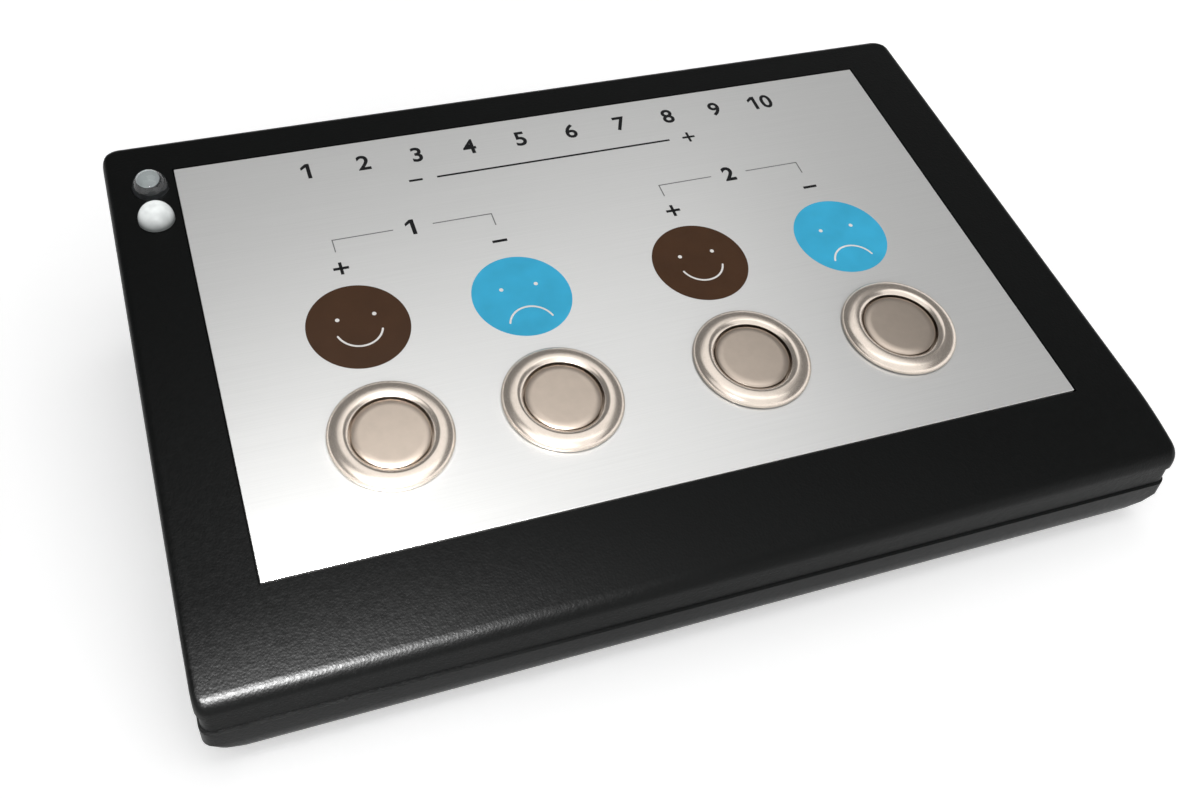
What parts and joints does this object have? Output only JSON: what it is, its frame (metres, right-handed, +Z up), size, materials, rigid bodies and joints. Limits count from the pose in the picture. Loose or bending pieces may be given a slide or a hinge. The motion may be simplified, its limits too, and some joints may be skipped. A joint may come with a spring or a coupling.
{
  "type": "customer feedback button terminal",
  "caption": "Sloped desk case with a brushed face plate, metal push buttons under face symbols, indicator lamps and a battery bay, for counting customer ratings.",
  "frame": {"origin": "middle of the case's footprint, on the surface that the rubber feet stand on", "axes": "+X to the customer's right along the panel, +Y from the low front to the high rear, +Z up"},
  "size_m": [0.202, 0.1294, 0.0541],
  "materials": {
    "cover_plastic": "moulded ABS with a fine spark-eroded grain",
    "base_plastic": "moulded ABS with a fine spark-eroded grain",
    "foot_rubber": "matt",
    "zinc_screws": "zinc plated",
    "plate_aluminium": "satin anodised, finely brushed along X",
    "adhesive_film": "film",
    "button_steel": "satin turned stainless steel",
    "spring_steel": "drawn wire",
    "seal_rubber": "matt",
    "nut_nickel": "nickel plated",
    "switch_plastic": "moulded",
    "contact_metal": "tinned",
    "lamp_clear": "clear epoxy dome, unlit",
    "lamp_lit": "clear epoxy dome, lit",
    "board_green": "solder resist",
    "chip_black": "moulded",
    "port_steel": "tinned shell",
    "connector_cream": "nylon",
    "tray_plastic": "moulded",
    "cell_case": "plain printed sleeve on a metal can",
    "wire_red": "PVC insulation"
  },
  "bodies": {
    "case": {"top_cover": "cover_plastic", "base_shell": "base_plastic", "rubber_feet": "foot_rubber", "case_screws": "zinc_screws", "face_plate": "plate_aluminium", "plate_adhesive": "adhesive_film", "button_bezel_1": "button_steel", "button_bezel_2": "button_steel", "button_bezel_3": "button_steel", "button_bezel_4": "button_steel", "return_spring_1": "spring_steel", "return_spring_2": "spring_steel", "return_spring_3": "spring_steel", "return_spring_4": "spring_steel", "bezel_seal_1": "seal_rubber", "bezel_seal_2": "seal_rubber", "bezel_seal_3": "seal_rubber", "bezel_seal_4": "seal_rubber", "lock_nut_1": "nut_nickel", "lock_nut_2": "nut_nickel", "lock_nut_3": "nut_nickel", "lock_nut_4": "nut_nickel", "switch_block_1": "switch_plastic", "switch_block_2": "switch_plastic", "switch_block_3": "switch_plastic", "switch_block_4": "switch_plastic", "switch_terminals_1": "contact_metal", "switch_terminals_2": "contact_metal", "switch_terminals_3": "contact_metal", "switch_terminals_4": "contact_metal", "lamp_upper": "lamp_clear", "lamp_lower": "lamp_lit", "lamp_board": "board_green", "lamp_board_screw": "zinc_screws", "main_board": "board_green", "board_screws": "zinc_screws", "processor": "chip_black", "memory_chip": "chip_black", "data_port": "port_steel", "button_connectors": "connector_cream", "power_connector": "connector_cream", "lamp_connector": "connector_cream", "battery_tray": "tray_plastic", "contact_plates": "contact_metal", "contact_coils": "contact_metal", "battery_cell_1": "cell_case", "battery_cell_2": "cell_case", "battery_cell_3": "cell_case", "button_wires": "wire_red", "battery_wires": "wire_red", "lamp_wires": "wire_red"},
    "button_1": {"button_cap_1": "button_steel"},
    "button_2": {"button_cap_2": "button_steel"},
    "button_3": {"button_cap_3": "button_steel"},
    "button_4": {"button_cap_4": "button_steel"},
    "battery_door": {"battery_door": "base_plastic"}
  },
  "joints": [
    {"name": "press_1", "type": "slide", "parent": "case", "child": "button_1", "axis": [0, 0.2419, -0.9703], "range_m": [0, 0.002], "stiffness_N_per_m": 800, "springref_m": -0.002, "deforming": ["return_spring_1"]},
    {"name": "press_2", "type": "slide", "parent": "case", "child": "button_2", "axis": [0, 0.2419, -0.9703], "range_m": [0, 0.002], "stiffness_N_per_m": 800, "springref_m": -0.002, "deforming": ["return_spring_2"]},
    {"name": "press_3", "type": "slide", "parent": "case", "child": "button_3", "axis": [0, 0.2419, -0.9703], "range_m": [0, 0.002], "stiffness_N_per_m": 800, "springref_m": -0.002, "deforming": ["return_spring_3"]},
    {"name": "press_4", "type": "slide", "parent": "case", "child": "button_4", "axis": [0, 0.2419, -0.9703], "range_m": [0, 0.002], "stiffness_N_per_m": 800, "springref_m": -0.002, "deforming": ["return_spring_4"]},
    {"name": "battery_door_slide", "type": "slide", "parent": "case", "child": "battery_door", "axis": [1, 0, 0], "range_m": [0, 0.05]}
  ]
}
